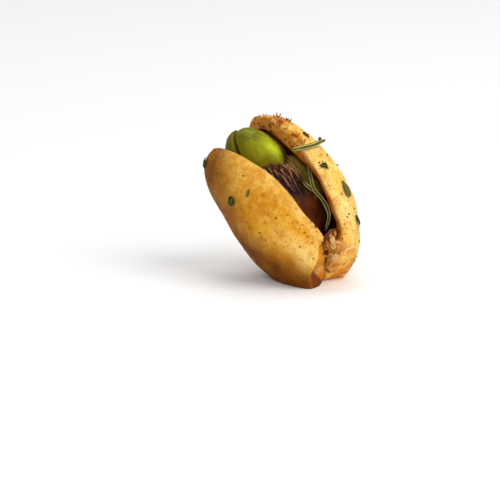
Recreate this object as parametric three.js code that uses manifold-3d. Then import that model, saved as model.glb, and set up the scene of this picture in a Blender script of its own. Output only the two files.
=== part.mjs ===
// A roasted pistachio in its shell: two hard shell halves gaping from the stem end,
// the kernel between them as two seed leaves in a torn papery skin, and the dried
// herbs of the seasoning that cling to it. Millimetres, +Z up, standing on a flat spot.
import * as THREE from "three";
import { mergeVertices } from "three/addons/utils/BufferGeometryUtils.js";
import loadManifold from "manifold-3d";

const manifold = await loadManifold();
manifold.setup();

const degrees = THREE.MathUtils.degToRad;

// Shell. The nut's own frame has x along the length from the stem end, y across the two
// halves with the left one at +y, and z across the seam with the wide mouth at +z.
const WIDEST_AT = 9.2; // of the seam plane, from the stem scar
const STEM_SIDE_LENGTH = 11.0; // from there to where a round stem end would be
const LEFT_TIP_LENGTH = 10.3; // from there to the tip of each half
const RIGHT_TIP_LENGTH = 11.2;
const SCAR_AT = 0.4; // the stem scar cuts the round end off at a slant
const SCAR_SLANT_ACROSS = 0.32;
const SCAR_SLANT_UP = 0.2;
const SCAR_HOLLOW = 0.05; // and curves forward to meet the mouth
const SCAR_ROUNDING = 0.22;
const SCAR_LEFT_EDGE = 0.9; // how far the scar reaches on to the left half at its ends
const SCAR_LEFT_BULGE = 1.3; // and how much farther below the mouth
const SCAR_LEFT_RIDGE = 1.1; // slope of the ridge that stands beside it
const MOUTH_SIDE_WIDTH = 6.7; // seam to middle, on the mouth side
const BACK_SIDE_WIDTH = 5.6;
const HALF_DEPTH = 5.5; // one shell half, seam to belly
const BELLY_TOWARDS_STEM = 1.2;
const TIP_TOWARDS_BACK = 0.9;
const TIP_FULLNESS = 1.95; // superellipse powers, where 2 is an ellipse
const STEM_FULLNESS = 2.3;
const BELLY_FULLNESS = 2.15;
const WALL_AT_TIP = 0.75;
const WALL_AT_STEM = 2.5;
const WALL_TAPER = 10.0; // length over which the wall thins from the stem
const SEAM_GAP = 0.2;
const SEAM_SHIFT_AT_STEM = 0.8; // the seam bows towards the left half at the stem
const NOTCH = 0.9; // the right rim falls back from the seam where the mouth ends
const NOTCH_TURN = degrees(115);
const NOTCH_REACH = degrees(17);

// How far the roasted halves gape.
const GAPE_START = 1.5; // the halves still meet below this length
const GAPE_LENGTH = 8.0;
const GAPE_ANGLE = degrees(6.5); // each half, about the stem end
const MOUTH_LENGTH = 6.5;
const MOUTH_ANGLE = degrees(6.8); // each half, about the seam at the back
const LEFT_TIP_FLARE = 1.1;
const FLARE_START = 12.0;
const FLARE_LENGTH = 8.0;

// Standing pose.
const RISE = degrees(54.4); // long axis above the table
const HEADING = degrees(153.8);
const ROLL = degrees(-36.2);
const FLAT_SPOT_DEPTH = 2.56; // how much of the rounded underside is worn flat
const WALL_OVER_FLAT_SPOT = 0.75;

// Kernel and its skin.
const KERNEL_START = 3.6;
const KERNEL_END = 19.7;
const KERNEL_HALF_WIDTH = 4.6;
const KERNEL_HALF_DEPTH = 3.85;
const KERNEL_CENTRE_Y = 0.45;
const KERNEL_CENTRE_Z = 0.1;
const KERNEL_ROLL = degrees(135); // turns the larger seed leaf towards the mouth and the right
const CLEFT_SHIFT = -0.3; // the cleft lies behind the middle
const CLEFT_GAP = 0.2;
const LEAF_INNER_BULGE = 0.3;
const LEAF_TIP_PART = 0.55; // the tips of the two seed leaves stand apart
const SKIN_EDGE = 13.8; // mean length at which the skin is torn off
const SKIN_RECESS = 0.8; // the seed leaves are slimmer under the skin
const SKIN_WALL = 0.45;
const SWELLING = 1.1;
const SWELLING_TURN = degrees(40);
const SKIN_CLEARANCE = 0.25;

// Seasoning that clings to the nut.
const STALK_WIDTH = 0.72;
const STALK_THICKNESS = 0.62;
const FLAKE_THICKNESS = 0.6;
const CLING_GAP = 0.13;

// Mesh density.
const ROUND_STEPS = 64;
const OUTER_ROWS = 17;
const INNER_ROWS = 7;

const clamp01 = (t) => Math.min(1, Math.max(0, t));
const smoothStep = (t) => clamp01(t) ** 2 * (3 - 2 * clamp01(t));
const signedPower = (v, p) => Math.sign(v) * Math.abs(v) ** p;
const mix = (a, b, t) => a + (b - a) * t;

// Outline of the shell in the seam plane about its widest section, by angle from the tip.
function shellOutline(side, angle) {
  const along = Math.cos(angle);
  const across = Math.sin(angle);
  const fullness = along > 0 ? TIP_FULLNESS : STEM_FULLNESS;
  const tipLength = side > 0 ? LEFT_TIP_LENGTH : RIGHT_TIP_LENGTH;
  const length = along > 0 ? tipLength : STEM_SIDE_LENGTH;
  const width = across > 0 ? MOUTH_SIDE_WIDTH : BACK_SIDE_WIDTH;
  return [length * signedPower(along, 2 / fullness), width * signedPower(across, 2 / fullness)];
}

// Opens a point of one half: rolled out about the back of the seam, then bent out
// about the stem end, so that the mouth widens steadily towards the tip.
function gape(side, x, y, z) {
  const roll = MOUTH_ANGLE * smoothStep((x - GAPE_START) / MOUTH_LENGTH);
  const lift = z + BACK_SIDE_WIDTH;
  const out = side * y * Math.cos(roll) + lift * Math.sin(roll);
  const height = lift * Math.cos(roll) - side * y * Math.sin(roll) - BACK_SIDE_WIDTH;

  const run = (x - GAPE_START) / GAPE_LENGTH;
  const bend = GAPE_ANGLE * smoothStep(run);
  const bendRun = run > 1 ? run - 0.5 : Math.max(0, run) ** 3 - Math.max(0, run) ** 4 / 2;
  const flare = side > 0 ? LEFT_TIP_FLARE * smoothStep((x - FLARE_START) / FLARE_LENGTH) : 0;
  const droop = TIP_TOWARDS_BACK * clamp01((x - 8) / 12) ** 2;
  const opened = GAPE_ANGLE * GAPE_LENGTH * bendRun + out * Math.cos(bend) + flare;
  return new THREE.Vector3(x - out * Math.sin(bend), side * opened, height - droop);
}

// A point of one half. The angle runs round the rim from the tip over the mouth side, the
// level from 0 at the belly to 1 at the rim, and the inset is depth below the outside.
function shellPoint(side, angle, level, inset) {
  const spread = Math.sin((level * Math.PI) / 2) ** (2 / BELLY_FULLNESS);
  const rise = Math.cos((level * Math.PI) / 2) ** (2 / BELLY_FULLNESS);
  const [ox, oz] = shellOutline(side, angle);
  const wall = inset * mix(WALL_AT_STEM, WALL_AT_TIP, smoothStep((WIDEST_AT + spread * ox) / WALL_TAPER));
  const reach = spread * (1 - wall / Math.hypot(ox, oz));
  const free = WIDEST_AT + reach * ox - BELLY_TOWARDS_STEM * (1 - spread ** 2);
  const seam = SEAM_SHIFT_AT_STEM * (1 - smoothStep(free / 7)) * spread ** 2;
  const nearNotch = Math.exp(-(((angle - NOTCH_TURN) / NOTCH_REACH) ** 2)) * smoothStep((level - 0.75) / 0.25);
  const notch = side < 0 ? NOTCH * nearNotch : 0;
  const y = seam + side * (SEAM_GAP / 2 + (HALF_DEPTH - wall) * rise + notch);
  const z = reach * oz;
  const scarEdge = SCAR_LEFT_EDGE + SCAR_LEFT_BULGE * Math.exp(-(((z - 3.2) / 2.0) ** 2));
  const ridge = (1 - inset) * SCAR_LEFT_RIDGE * Math.max(0, y - scarEdge);
  const scarFace = SCAR_AT + SCAR_SLANT_ACROSS * y + SCAR_SLANT_UP * z + SCAR_HOLLOW * Math.max(0, z) ** 2;
  const scar = scarFace + wall - ridge;
  const x = scar + SCAR_ROUNDING * Math.log1p(Math.exp((free - scar) / SCAR_ROUNDING));
  return gape(side, x, y, z);
}

// Welds a surface into one closed body with its faces outward.
function closeBody(surface) {
  surface.deleteAttribute("uv");
  surface.deleteAttribute("normal");
  const body = mergeVertices(surface, 1e-4);
  const at = body.attributes.position;
  const index = Array.from(body.index.array);
  const a = new THREE.Vector3();
  const b = new THREE.Vector3();
  const c = new THREE.Vector3();
  let volume = 0;
  for (let i = 0; i < index.length; i += 3) {
    a.fromBufferAttribute(at, index[i]);
    b.fromBufferAttribute(at, index[i + 1]);
    c.fromBufferAttribute(at, index[i + 2]);
    volume += a.dot(b.cross(c));
  }
  if (volume < 0) index.reverse();
  body.setIndex(index);
  body.computeVertexNormals();
  return body;
}

// A sphere with its lower half pushed up inside the upper one: a cup with a rim. Each
// vertex goes where place(turn, level, inset) says, with the level 0 at the pole.
function cup(roundSteps, outerRows, innerRows, place) {
  const rows = outerRows + 1 + innerRows;
  const surface = new THREE.SphereGeometry(1, roundSteps, rows);
  const at = surface.attributes.position;
  for (let row = 0; row <= rows; row += 1) {
    const outer = row <= outerRows;
    const level = outer ? row / outerRows : (rows - row) / innerRows;
    for (let step = 0; step <= roundSteps; step += 1) {
      const turn = ((step % roundSteps) / roundSteps) * 2 * Math.PI;
      const p = place(level === 0 ? 0 : turn, level, outer ? 0 : 1);
      at.setXYZ(row * (roundSteps + 1) + step, p.x, p.y, p.z);
    }
  }
  return closeBody(surface);
}

const pose = new THREE.Quaternion().setFromEuler(new THREE.Euler(ROLL, -RISE, HEADING, "ZYX"));
const up = new THREE.Vector3(0, 0, 1).applyQuaternion(pose.clone().invert());

// Level of the table in the nut's frame: a little above the lowest point of the halves.
function tableLevel() {
  let lowest = Infinity;
  for (const side of [1, -1]) {
    for (let turn = 0; turn < 2 * Math.PI; turn += 0.05) {
      for (let level = 0; level <= 1; level += 0.02) {
        lowest = Math.min(lowest, up.dot(shellPoint(side, turn, level, 0)));
      }
    }
  }
  return lowest + FLAT_SPOT_DEPTH;
}
const table = tableLevel();

// One shell half, worn flat where it stands.
function shellHalf(side) {
  return cup(ROUND_STEPS, OUTER_ROWS, INNER_ROWS, (turn, level, inset) => {
    const p = shellPoint(side, turn, level, inset);
    const floor = table + inset * WALL_OVER_FLAT_SPOT;
    return p.addScaledVector(up, Math.max(0, floor - up.dot(p)));
  });
}

const kernelMiddle = (KERNEL_START + KERNEL_END) / 2;
const kernelReach = (KERNEL_END - KERNEL_START) / 2;

// Places a point given along the kernel, across its cleft and along the cleft.
function kernelPoint(along, across, width) {
  const y = across * Math.cos(KERNEL_ROLL) - width * Math.sin(KERNEL_ROLL);
  const z = across * Math.sin(KERNEL_ROLL) + width * Math.cos(KERNEL_ROLL);
  return new THREE.Vector3(kernelMiddle + along, y + KERNEL_CENTRE_Y, z + KERNEL_CENTRE_Z);
}

// Length at which the skin is torn, round the kernel.
function skinEdge(turn) {
  return SKIN_EDGE + 0.4 * Math.sin(2 * turn - 0.9) + 0.22 * Math.sin(7 * turn + 1.2);
}

// The kernel swells towards the right half below the torn edge.
function swelling(turn, x) {
  const facing = Math.cos(turn - SWELLING_TURN);
  const lengthwise = smoothStep((x - 6.5) / 4) * (1 - smoothStep((x - 12.8) / 2.2));
  return SWELLING * Math.max(0, facing) ** 3 * lengthwise;
}

// One seed leaf, flat-faced towards the cleft and slimmer where the skin covers it.
function seedLeaf(front) {
  const surface = new THREE.SphereGeometry(1, 24, 20);
  const at = surface.attributes.position;
  const depth = KERNEL_HALF_DEPTH - CLEFT_GAP / 2;
  const cleft = LEAF_INNER_BULGE + front * CLEFT_SHIFT;
  const p = new THREE.Vector3();
  for (let i = 0; i < at.count; i += 1) {
    p.fromBufferAttribute(at, i);
    const girth = Math.hypot(p.x, p.z);
    const lean = girth > 1e-6 ? (p.x * front) / girth : 0;
    const outward = lean > 0 ? mix(cleft, depth, lean) : cleft + LEAF_INNER_BULGE * lean;
    const chord = Math.sqrt(1 - (Math.max(cleft, outward) / depth) ** 2);
    const width = Math.sign(p.z) * chord * (lean > 0 ? 1 : Math.sqrt(1 - lean ** 2));
    const turn = Math.atan2(width * KERNEL_HALF_WIDTH, front * outward);
    const x = kernelMiddle + kernelReach * p.y;
    const bare = smoothStep((x - skinEdge(turn) - 0.15) / 1.3);
    const slim = girth * (1 + (swelling(turn, x) - SKIN_RECESS * (1 - bare)) / KERNEL_HALF_DEPTH);
    const part = CLEFT_GAP / 2 + LEAF_TIP_PART * Math.max(0, p.y) ** 8;
    const along = kernelReach * p.y * mix(0.9, 1, bare);
    const q = kernelPoint(along, front * (part + outward * slim), KERNEL_HALF_WIDTH * width * slim);
    at.setXYZ(i, q.x, q.y, q.z);
  }
  return closeBody(surface);
}

// The papery skin: a wrinkled cup round the stem end of the kernel, torn at its edge.
function seedCoat() {
  return cup(40, 10, 6, (turn, level, inset) => {
    const edge = clamp01((skinEdge(turn) - KERNEL_START) / (2 * kernelReach));
    const along = -Math.cos(level * Math.acos(1 - 2 * edge));
    const girth = Math.sqrt(1 - along ** 2);
    const wrinkle = 0.07 * Math.sin(11 * turn + 2 * level) * level * (1 - inset);
    const swell = swelling(turn, kernelMiddle + kernelReach * along);
    const recess = SKIN_RECESS - SKIN_CLEARANCE - (1 - inset) * SKIN_WALL - wrinkle - swell;
    const slim = 1 - recess / KERNEL_HALF_DEPTH;
    const across = KERNEL_HALF_DEPTH * girth * Math.cos(turn) * slim;
    const width = KERNEL_HALF_WIDTH * girth * Math.sin(turn) * slim;
    return kernelPoint(kernelReach * along * mix(0.98, 1, level) + inset * 0.4 * (1 - level), across, width);
  });
}

// A dried herb stalk: a rounded strip swept along a curve.
function stalk(points, width) {
  const curve = new THREE.CatmullRomCurve3(points.map((p) => new THREE.Vector3(...p)));
  const section = new THREE.Shape().absellipse(0, 0, width / 2, STALK_THICKNESS / 2, 0, 2 * Math.PI);
  const options = { steps: 4 * points.length, curveSegments: 4, bevelEnabled: false, extrudePath: curve };
  return closeBody(new THREE.ExtrudeGeometry(section, options));
}

// Joins a side shoot to its stalk.
function joinStalks(...stalks) {
  const solids = stalks.map((geometry) => {
    const vertProperties = new Float32Array(geometry.attributes.position.array);
    const triVerts = new Uint32Array(geometry.index.array);
    return new manifold.Manifold(new manifold.Mesh({ numProp: 3, vertProperties, triVerts }));
  });
  const joined = manifold.Manifold.union(solids).getMesh();
  const geometry = new THREE.BufferGeometry();
  geometry.setAttribute("position", new THREE.BufferAttribute(joined.vertProperties, 3));
  geometry.setIndex(new THREE.BufferAttribute(joined.triVerts, 1));
  geometry.computeVertexNormals();
  return geometry;
}

// A scrap of dried leaf, pointed at both ends.
function leafScrap(length, width) {
  const outline = new THREE.Shape();
  outline.moveTo(-length / 2, 0);
  outline.quadraticCurveTo(-0.1 * length, 1.1 * width, length / 2, 0.08 * width);
  outline.quadraticCurveTo(0.05 * length, -0.95 * width, -length / 2, 0);
  const options = { depth: FLAKE_THICKNESS, curveSegments: 6, bevelEnabled: false };
  return closeBody(new THREE.ExtrudeGeometry(outline, options));
}

// A grain of the coarse seasoning, lumpy and flattened, with its underside at z = 0.
function grain(size, lumps) {
  const body = closeBody(new THREE.IcosahedronGeometry(size / 2, 1));
  const at = body.attributes.position;
  const p = new THREE.Vector3();
  for (let i = 0; i < at.count; i += 1) {
    p.fromBufferAttribute(at, i);
    const lump = 1 + 0.16 * Math.sin(9 * p.x / size + lumps) * Math.cos(8 * p.y / size + 2 * lumps);
    at.setXYZ(i, p.x * lump, p.y * lump * 0.85, p.z * lump * 0.75);
  }
  body.computeBoundingBox();
  body.translate(0, 0, -body.boundingBox.min.z);
  body.computeVertexNormals();
  return body;
}

const nut = new THREE.Group();
nut.name = "pistachio";

function addPiece(name, geometry, colour, roughness) {
  const material = new THREE.MeshStandardMaterial({ color: colour, roughness: roughness, metalness: 0 });
  const mesh = new THREE.Mesh(geometry, material);
  mesh.name = name;
  nut.add(mesh);
  return mesh;
}

// Lays a piece on the outside of one half, turned by an angle from the nut's length.
function cling(mesh, side, turn, level, spin) {
  const spot = shellPoint(side, degrees(turn), level, 0);
  const round = shellPoint(side, degrees(turn + 1), level, 0).sub(spot);
  const outward = shellPoint(side, degrees(turn), level + 0.01, 0).sub(spot).cross(round).normalize();
  if (outward.dot(shellPoint(side, degrees(turn), level, 1).sub(spot)) > 0) outward.negate();
  const lengthwise = new THREE.Vector3(1, 0, 0).projectOnPlane(outward).normalize();
  lengthwise.applyAxisAngle(outward, degrees(spin));
  const sideways = new THREE.Vector3().crossVectors(outward, lengthwise);
  mesh.quaternion.setFromRotationMatrix(new THREE.Matrix4().makeBasis(lengthwise, sideways, outward));
  mesh.position.copy(spot).addScaledVector(outward, CLING_GAP);
}

addPiece("shell_left", shellHalf(1), "#d9a648", 0.55);
addPiece("shell_right", shellHalf(-1), "#d9a648", 0.55);
addPiece("seed_leaf_front", seedLeaf(1), "#8fae1e", 0.4);
addPiece("seed_leaf_back", seedLeaf(-1), "#6d8c1c", 0.4);
addPiece("seed_coat", seedCoat(), "#4a2430", 0.6);

// The forked sprig that lies in the mouth, from under the rim down to the stem end.
const sprigStem = stalk(
  [
    [12.9, -2.8, 4.4],
    [11.9, -2.6, 4.35],
    [10.0, -1.95, 4.1],
    [9.05, -1.9, 4.15],
    [8.1, -2.0, 4.3],
    [7.1, -1.85, 4.5],
    [6.1, -1.45, 4.5],
    [4.9, -0.4, 3.9],
  ],
  STALK_WIDTH,
);
const sprigShoot = stalk([[10.95, -1.2, 4.2], [10.2, -1.45, 4.05], [9.3, -1.85, 4.1]], 0.62);
addPiece("herb_sprig", joinStalks(sprigStem, sprigShoot), "#8c8a3a", 0.7);

// The stiff needle that lies across the right rim, with a stub near its outer end.
const needleStem = stalk(
  [
    [14.4, -1.45, 5.55],
    [14.0, -2.35, 6.15],
    [13.7, -3.9, 5.85],
    [13.6, -5.65, 5.3],
  ],
  0.62,
);
const needleStub = stalk([[13.6, -4.7, 5.6], [13.85, -4.85, 5.75], [14.1, -4.85, 5.95]], 0.62);
addPiece("herb_needle", joinStalks(needleStem, needleStub), "#7d7b4a", 0.7);

// Scraps of leaf on the outside: half, turn, level, spin, length and width.
const scraps = [
  [-1, 79, 0.88, -40, 1.0, 0.62],
  [-1, 93, 0.71, 10, 2.3, 0.7],
  [-1, 118, 0.55, 30, 1.4, 0.8],
  [-1, 52, 0.8, -20, 1.1, 0.7],
  [1, 40, 0.43, 40, 1.25, 0.85],
  [1, 60, 0.62, -60, 1.2, 0.62],
  [1, 4, 0.82, 60, 1.6, 1.0],
];
scraps.forEach(([side, turn, level, spin, length, width], i) => {
  cling(addPiece(`herb_flake_${i + 1}`, leafScrap(length, width), "#3f4a2a", 0.75), side, turn, level, spin);
});

// Grains of spice near the right tip and pale grains in the scar: half, turn, level, size.
const grains = [
  [-1, 36, 0.93, 1.0, "#c2601c"],
  [-1, 52, 0.93, 0.9, "#b4521a"],
  [-1, 152, 0.95, 1.1, "#e0c080"],
  [-1, 124, 0.99, 0.9, "#d8b878"],
];
grains.forEach(([side, turn, level, size, colour], i) => {
  cling(addPiece(`spice_grain_${i + 1}`, grain(size, i), colour, 0.8), side, turn, level, 50 * i);
});

// Stands the nut on its flat spot, centred over the origin.
nut.quaternion.copy(pose);
nut.updateMatrixWorld(true);
const box = new THREE.Box3().setFromObject(nut, true);
const centre = box.getCenter(new THREE.Vector3());
nut.position.set(-centre.x, -centre.y, -table);

export default nut;
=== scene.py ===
import math
import random

import bpy
import numpy as np
from mathutils import Matrix, Vector


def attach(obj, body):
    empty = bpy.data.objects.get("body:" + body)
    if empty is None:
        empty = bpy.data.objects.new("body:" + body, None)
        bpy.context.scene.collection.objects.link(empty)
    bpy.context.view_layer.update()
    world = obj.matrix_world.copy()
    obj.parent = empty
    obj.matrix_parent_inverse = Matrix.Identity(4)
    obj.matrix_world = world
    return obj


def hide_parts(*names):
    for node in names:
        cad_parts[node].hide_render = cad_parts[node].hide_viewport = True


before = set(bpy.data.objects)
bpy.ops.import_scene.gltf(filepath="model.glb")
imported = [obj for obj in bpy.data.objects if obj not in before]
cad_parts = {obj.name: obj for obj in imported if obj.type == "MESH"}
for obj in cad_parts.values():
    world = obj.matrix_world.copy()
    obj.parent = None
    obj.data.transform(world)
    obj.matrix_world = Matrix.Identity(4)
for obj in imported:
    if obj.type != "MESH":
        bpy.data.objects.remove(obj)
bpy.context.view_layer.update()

# The table: a plain white sheet under the nut, lit softly from the upper right, the front
# and above in a bright white room. The camera looks down on it a little.
TABLE_SIZE, TABLE_DROP = 4.0, 0.00002
LIT_SPOT = Vector((0, 0, 0.009))
CAMERA_PLACE = Vector((-0.003496, -0.341863, 0.081919))
CAMERA_AIM = Vector((-0.003496, -0.000834, 0.003187))
bpy.ops.object.select_all(action="DESELECT")
bpy.ops.mesh.primitive_plane_add(size=TABLE_SIZE, location=(0, 0, -TABLE_DROP))
table = bpy.context.object
table.name = "table"
table_white = bpy.data.materials.new("table white")
table_white.use_nodes = True
table_shader = table_white.node_tree.nodes["Principled BSDF"]
table_shader.inputs["Base Color"].default_value = (0.97, 0.97, 0.97, 1)
table_shader.inputs["Roughness"].default_value = 0.9
table.data.materials.append(table_white)

room = bpy.data.worlds.new("white room")
room.use_nodes = True
room.node_tree.nodes["Background"].inputs["Color"].default_value = (1, 1, 1, 1)
room.node_tree.nodes["Background"].inputs["Strength"].default_value = 0.5
bpy.context.scene.world = room
bpy.context.scene.view_settings.view_transform = "Standard"

for name, place, size, watts in (
    ("key light", (0.3, -0.2, 0.34), 0.36, 1.35),
    ("front light", (-0.02, -0.42, 0.26), 0.2, 0.55),
    ("top light", (0.02, 0.18, 0.42), 0.3, 0.5),
):
    bpy.ops.object.light_add(type="AREA", location=place)
    lamp = bpy.context.object
    lamp.name = name
    lamp.data.size = size
    lamp.data.energy = watts
    lamp.rotation_euler = (LIT_SPOT - Vector(place)).to_track_quat("-Z", "Y").to_euler()

bpy.ops.object.camera_add(location=CAMERA_PLACE)
camera = bpy.context.object
camera.rotation_euler = (CAMERA_AIM - CAMERA_PLACE).to_track_quat("-Z", "Y").to_euler()
camera.data.lens = 227.6
camera.data.sensor_width = 36.0
camera.data.clip_start = 0.01
camera.data.clip_end = 10.0
bpy.context.scene.camera = camera

# The two halves of the hard shell: woody, cream to ochre, salted and roasted. They grew
# as one and split along the seam, so they still meet round the stem scar. Sizes are in
# mm in the nut's own frame: x from stem scar to tip, y to the left half, z to the mouth.
LEFT, RIGHT = 1, -1
WIDEST_AT, STEM_SIDE_LENGTH = 9.2, 11.0
TIP_LENGTH = {LEFT: 10.3, RIGHT: 11.2}
MOUTH_SIDE_WIDTH, BACK_SIDE_WIDTH, HALF_DEPTH = 6.7, 5.6, 5.5
TIP_FULLNESS, STEM_FULLNESS, BELLY_FULLNESS = 1.95, 2.3, 2.15
BELLY_TOWARDS_STEM = 1.2
TIP_TOWARDS_BACK, DROOP_START, DROOP_LENGTH = 0.9, 8.0, 12.0
SCAR_AT, SCAR_SLANT_ACROSS, SCAR_HOLLOW, SCAR_ROUNDING = 0.4, 0.32, 0.05, 0.22
SCAR_SLANT_UP = {LEFT: 0.3, RIGHT: 0.2}
SCAR_LEFT_EDGE, SCAR_LEFT_BORDER, SCAR_LEFT_RIDGE = 1.0, 0.35, 1.55
SCAR_LEFT_BULGE, SCAR_LEFT_BULGE_AT, SCAR_LEFT_BULGE_REACH = 1.7, 3.2, 2.0
WALL_AT_TIP, WALL_AT_STEM, WALL_TAPER = 0.75, 2.5, 10.0
RIGHT_LIP, RIGHT_LIP_FADES_AT, RIGHT_LIP_FADE = 0.6, 1.05, 0.5
RIGHT_TIP_LIP, RIGHT_TIP_LIP_AT, RIGHT_TIP_LIP_REACH = 1.0, 0.65, 0.45
LIP_START_LEVEL, LIP_LEVEL_RUN = 0.8, 0.17
NOTCH, NOTCH_TURN, NOTCH_REACH = 0.9, math.radians(117), math.radians(11)
NOTCH_START_LEVEL = 0.75
SEAM_GAP, SEAM_SHIFT_AT_STEM, SEAM_SHIFT_LENGTH = 0.2, 0.8, 7.0
GAPE_START, GAPE_LENGTH, GAPE_ANGLE = 1.5, 8.0, math.radians(6.5)
MOUTH_LENGTH, MOUTH_ANGLE = 6.5, math.radians(6.8)
LEFT_TIP_FLARE, FLARE_START, FLARE_LENGTH = 1.1, 12.0, 8.0
FOOT_PINCH, FOOT_HEIGHT, FOOT_FADE, FOOT_START, FOOT_RUN = 0.65, 5.2, 4.5, 3.5, 3.5
RISE, HEADING, ROLL = math.radians(54.4), math.radians(153.8), math.radians(-36.2)
STANDS_AT = np.array([5.71972, -2.26218, -0.00164])
WALL_OVER_FLAT_SPOT = 0.75
LIP = 0.984
OUTSIDE_END, RIM_END = 0.5, 0.58
HALF_SIZES_SQUARED = np.array([121, 30, 38])
LOW_BAND = 4.2
SHELL_GRAIN, SHELL_UNEVENNESS = 3.0, 0.16

pose = np.array(
    Matrix.Rotation(HEADING, 3, "Z") @ Matrix.Rotation(-RISE, 3, "Y") @ Matrix.Rotation(ROLL, 3, "X")
)


def smooth_step(t):
    t = np.clip(t, 0, 1)
    return t * t * (3 - 2 * t)


def mix(a, b, t):
    return a + (b - a) * t


def signed_power(v, p):
    return np.sign(v) * np.abs(v) ** p


def scar_edge(z):
    """How far to the left the stem scar reaches on the left half, which bulges at one height."""
    bulge = np.exp(-(((z - SCAR_LEFT_BULGE_AT) / SCAR_LEFT_BULGE_REACH) ** 2))
    return SCAR_LEFT_EDGE + SCAR_LEFT_BULGE * bulge


def shell_point(side, turn, level, inset, lip=0.0):
    """Points of one half in the nut's frame in mm, and how much of each is stem scar."""
    along, across = np.cos(turn), np.sin(turn)
    fullness = np.where(along > 0, TIP_FULLNESS, STEM_FULLNESS)
    ox = np.where(along > 0, TIP_LENGTH[side], STEM_SIDE_LENGTH) * signed_power(along, 2 / fullness)
    oz = np.where(across > 0, MOUTH_SIDE_WIDTH, BACK_SIDE_WIDTH) * signed_power(across, 2 / fullness)
    spread = np.sin(level * math.pi / 2) ** (2 / BELLY_FULLNESS)
    rise = np.cos(level * math.pi / 2) ** (2 / BELLY_FULLNESS)
    thin = WALL_AT_TIP
    if side == RIGHT:
        from_tip = np.arctan2(across, along)
        growth = RIGHT_LIP * (1 - smooth_step((from_tip - RIGHT_LIP_FADES_AT) / RIGHT_LIP_FADE))
        at_tip = np.exp(-(((from_tip - RIGHT_TIP_LIP_AT) / RIGHT_TIP_LIP_REACH) ** 2))
        growth = growth + RIGHT_TIP_LIP * at_tip
        thin = thin + growth * smooth_step((level - LIP_START_LEVEL) / LIP_LEVEL_RUN)
    wall = inset * mix(WALL_AT_STEM, thin, smooth_step((WIDEST_AT + spread * ox) / WALL_TAPER))
    reach = spread * (1 - wall / np.hypot(ox, oz))
    free = WIDEST_AT + reach * ox - BELLY_TOWARDS_STEM * (1 - spread**2)
    seam = SEAM_SHIFT_AT_STEM * (1 - smooth_step(free / SEAM_SHIFT_LENGTH)) * spread**2
    y = seam + side * (SEAM_GAP / 2 + (HALF_DEPTH - wall) * rise * (1 - lip))
    if side == RIGHT:
        at_notch = np.exp(-(((turn - NOTCH_TURN) / NOTCH_REACH) ** 2))
        y = y - NOTCH * at_notch * smooth_step((level - NOTCH_START_LEVEL) / (1 - NOTCH_START_LEVEL))
    z = reach * oz
    scar = SCAR_AT + SCAR_SLANT_ACROSS * y + SCAR_SLANT_UP[side] * z
    scar = scar + SCAR_HOLLOW * np.maximum(0, z) ** 2 + wall
    scar = scar - (1 - inset) * SCAR_LEFT_RIDGE * np.maximum(0, y - scar_edge(z))
    x = scar + SCAR_ROUNDING * np.log1p(np.exp(np.clip((free - scar) / SCAR_ROUNDING, -60, 60)))
    x = np.where(free - scar > 10, free, x)
    on_scar = smooth_step((scar - free + 0.6) / 0.9)

    roll = MOUTH_ANGLE * smooth_step((x - GAPE_START) / MOUTH_LENGTH)
    lift = z + BACK_SIDE_WIDTH
    out = side * y * np.cos(roll) + lift * np.sin(roll)
    height = lift * np.cos(roll) - side * y * np.sin(roll) - BACK_SIDE_WIDTH
    run = np.maximum(0, (x - GAPE_START) / GAPE_LENGTH)
    bend = GAPE_ANGLE * smooth_step(run)
    bend_run = np.where(run > 1, run - 0.5, run**3 - run**4 / 2)
    flare = LEFT_TIP_FLARE * smooth_step((x - FLARE_START) / FLARE_LENGTH) if side == LEFT else 0
    droop = TIP_TOWARDS_BACK * np.clip((x - DROOP_START) / DROOP_LENGTH, 0, 1) ** 2
    opened = GAPE_ANGLE * GAPE_LENGTH * bend_run + out * np.cos(bend) + flare
    points = np.stack([x - out * np.sin(bend), side * opened, height - droop], -1)
    if side == RIGHT:
        right, up = points @ pose[0] + STANDS_AT[0], points @ pose[2] + STANDS_AT[2]
        foot = FOOT_PINCH * smooth_step((right - FOOT_START) / FOOT_RUN)
        foot = foot * smooth_step((FOOT_HEIGHT - up) / FOOT_FADE)
        points = points - foot[..., None] * pose[0]
    return points, on_scar


def ball(name, segments, rings):
    """A new sphere to be shaped, with each vertex's turn and its 0 to 1 place from pole to pole."""
    bpy.ops.object.select_all(action="DESELECT")
    bpy.ops.mesh.primitive_uv_sphere_add(segments=segments, ring_count=rings, radius=1, location=(0, 0, 0))
    piece = bpy.context.object
    piece.name = name
    piece.data.name = name
    at = np.empty(len(piece.data.vertices) * 3)
    piece.data.vertices.foreach_get("co", at)
    at = at.reshape(-1, 3)
    turn = np.arctan2(at[:, 1], at[:, 0]) % (2 * math.pi)
    pole = np.arccos(np.clip(at[:, 2], -1, 1)) / math.pi
    return piece, turn, pole


def shape(piece, points, **marks):
    """Moves a piece's vertices to points in the nut's frame, seats it and keeps marks for its finish."""
    mesh = piece.data
    mesh.vertices.foreach_set("co", ((points @ pose.T + STANDS_AT) / 1000).ravel())
    for mark, values in {"nut": points, **marks}.items():
        vector = values.ndim == 2
        kept = mesh.attributes.new(mark, "FLOAT_VECTOR" if vector else "FLOAT", "POINT")
        kept.data.foreach_set("vector" if vector else "value", np.ascontiguousarray(values, float).ravel())
    mesh.update()
    bpy.ops.object.mode_set(mode="EDIT")
    bpy.ops.mesh.select_all(action="SELECT")
    bpy.ops.mesh.normals_make_consistent(inside=False)
    bpy.ops.object.mode_set(mode="OBJECT")
    bpy.ops.object.shade_smooth()


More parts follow.
